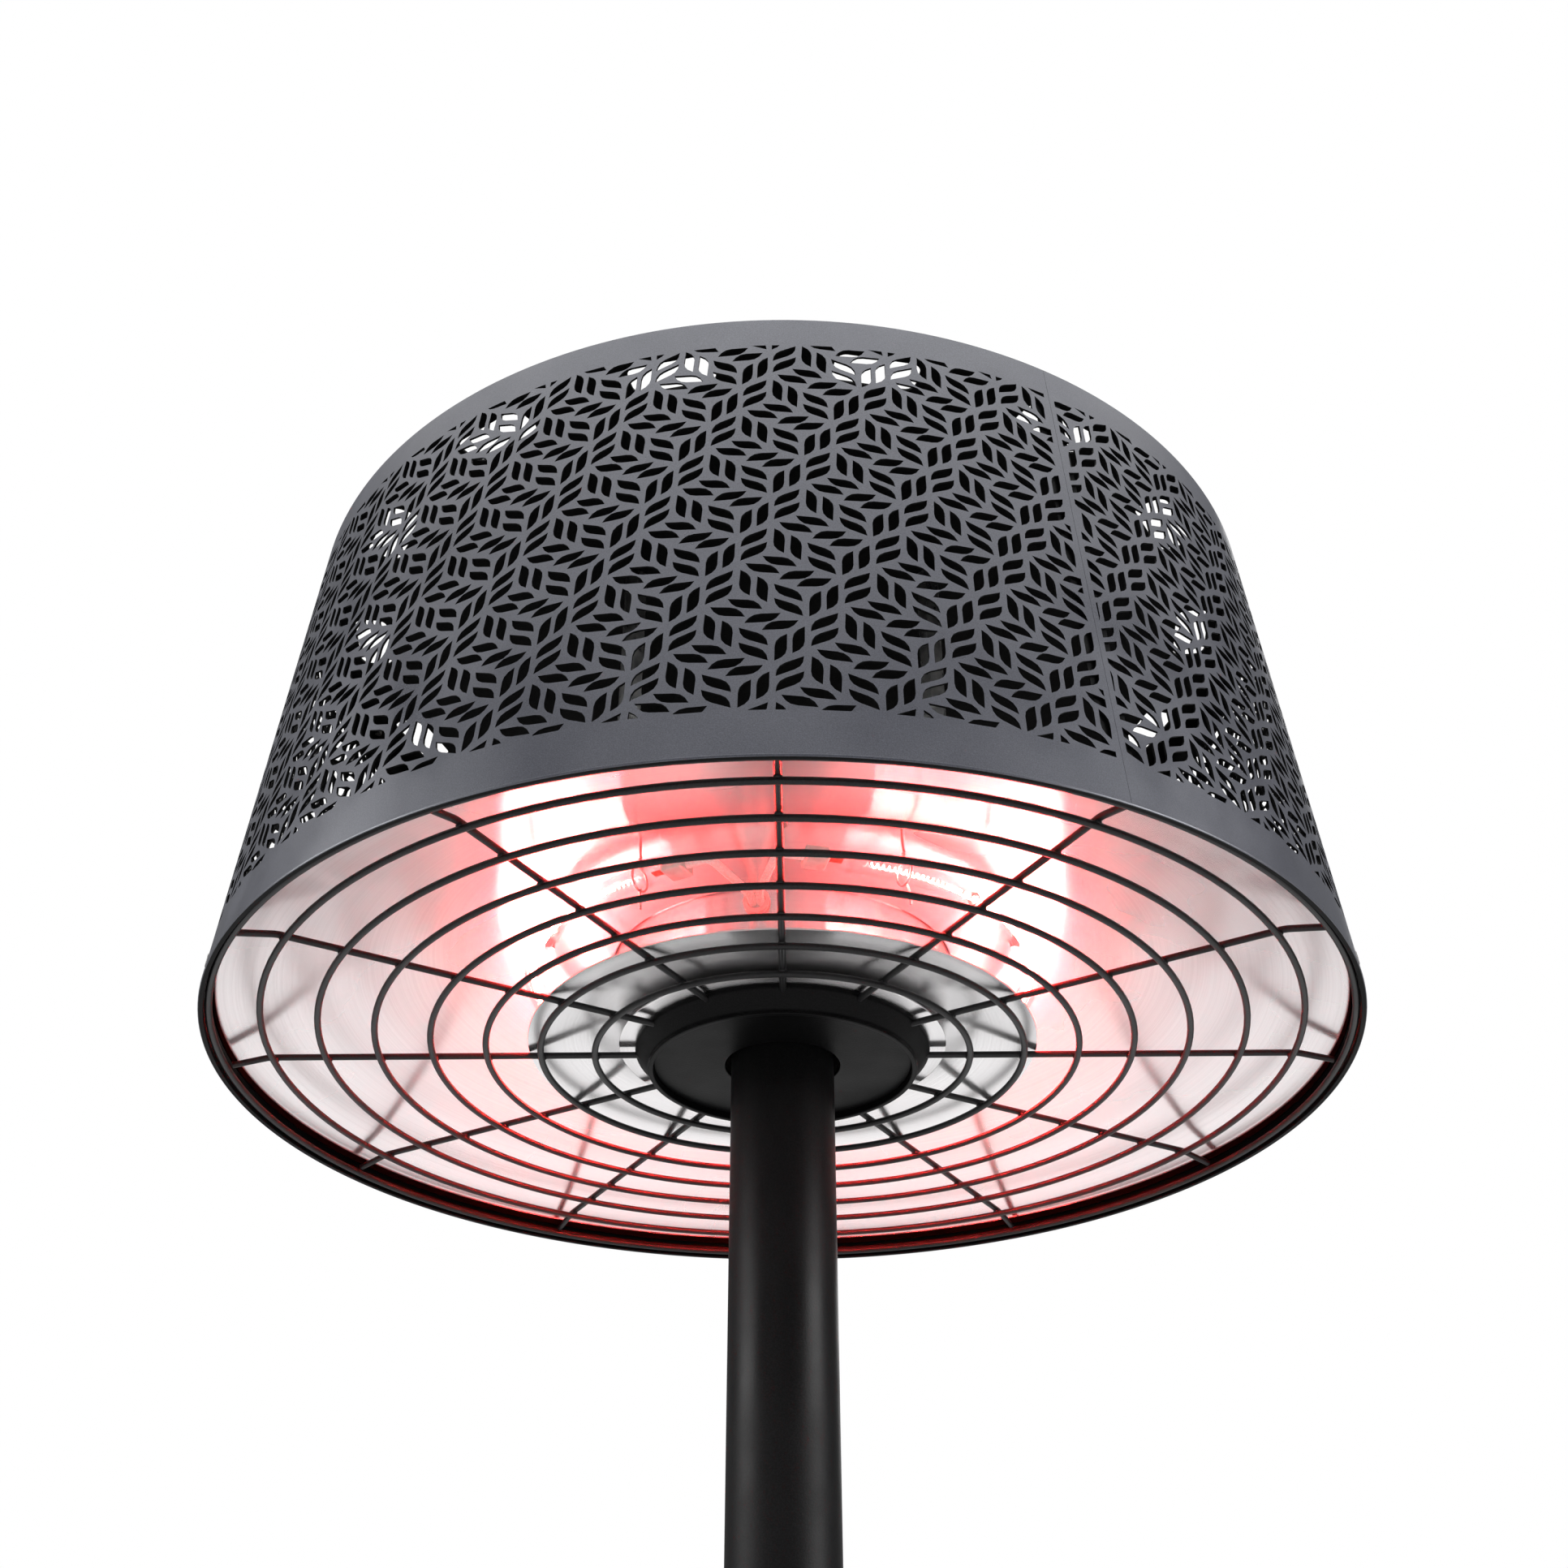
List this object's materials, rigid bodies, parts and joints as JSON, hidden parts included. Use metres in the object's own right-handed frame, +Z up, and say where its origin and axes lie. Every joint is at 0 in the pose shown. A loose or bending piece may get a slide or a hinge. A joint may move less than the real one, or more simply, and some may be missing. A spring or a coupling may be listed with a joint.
{
  "type": "free-standing infrared patio heater",
  "caption": "Free-standing electric infrared heater: perforated drum shade over a ring lamp, reflector and wire guard, on a pole with a round weighted base.",
  "frame": {"origin": "centre of the base on the ground", "axes": "+Z up the pole; -Y is the near side of the picture; +X to its right"},
  "size_m": [0.5499, 0.551, 2.103],
  "materials": {
    "anthracite_coat": "fine speckled anthracite powder coat",
    "black_coat": "satin black powder coat",
    "cast_iron": "cast, black paint",
    "rubber": "matt rubber",
    "black_plastic": "fine textured moulding",
    "button_plastic": "fine textured moulding",
    "zinc_steel": "zinc plated sheet and bar",
    "screw_steel": "blackened steel",
    "brushed_aluminium": "brushed, bright",
    "quartz_glass": "clear quartz",
    "hot_filament": "glowing wound filament",
    "molybdenum": "thin wire",
    "white_ceramic": "dry pressed ceramic",
    "fibre_sleeve": "braided glass-fibre sleeve",
    "brass": "turned brass"
  },
  "bodies": {
    "heater": {"shade": "anthracite_coat", "seam_strip": "anthracite_coat", "top_plate": "anthracite_coat", "rim_brackets": "anthracite_coat", "base_cover": "black_coat", "lower_pole": "black_coat", "upper_pole": "black_coat", "hub_cup": "black_coat", "hub_plate": "black_coat", "wire_guard": "black_coat", "base_weight": "cast_iron", "base_feet": "rubber", "base_collar": "black_plastic", "cable_gland": "black_plastic", "switch_housing": "black_plastic", "terminal_block": "black_plastic", "tilt_microswitch": "black_plastic", "pole_socket": "zinc_steel", "socket_bolts": "zinc_steel", "pole_joiner": "zinc_steel", "mast_socket": "zinc_steel", "chassis_plate": "zinc_steel", "chassis_posts": "zinc_steel", "pan_studs": "zinc_steel", "thermal_cutout": "zinc_steel", "tilt_bracket": "zinc_steel", "tilt_pin": "zinc_steel", "lamp_clips": "zinc_steel", "pole_screws": "screw_steel", "switch_screws": "screw_steel", "top_screws": "screw_steel", "rim_screws": "screw_steel", "hub_screws": "screw_steel", "mast_screws": "screw_steel", "reflector_pan": "brushed_aluminium", "inner_drum": "brushed_aluminium", "inner_reflector": "brushed_aluminium", "collar_disc": "brushed_aluminium", "quartz_tube": "quartz_glass", "filament": "hot_filament", "filament_supports": "molybdenum", "lamp_ceramics": "white_ceramic", "lead_grommet": "white_ceramic", "lead_sleeves": "fibre_sleeve"},
    "power_button": {"power_button": "button_plastic"},
    "tilt_pendulum": {"tilt_pendulum": "brass"}
  },
  "joints": [
    {"name": "button_press", "type": "slide", "parent": "heater", "child": "power_button", "axis": [0, -1, 0], "range_m": [0, 0.003], "stiffness_N_per_m": 500, "springref_m": -0.001},
    {"name": "pendulum_swing", "type": "hinge", "parent": "heater", "child": "tilt_pendulum", "pos_m": [0, 0.062, 1.999], "axis": [0, 1, 0], "range_deg": [-40, 40]}
  ]
}
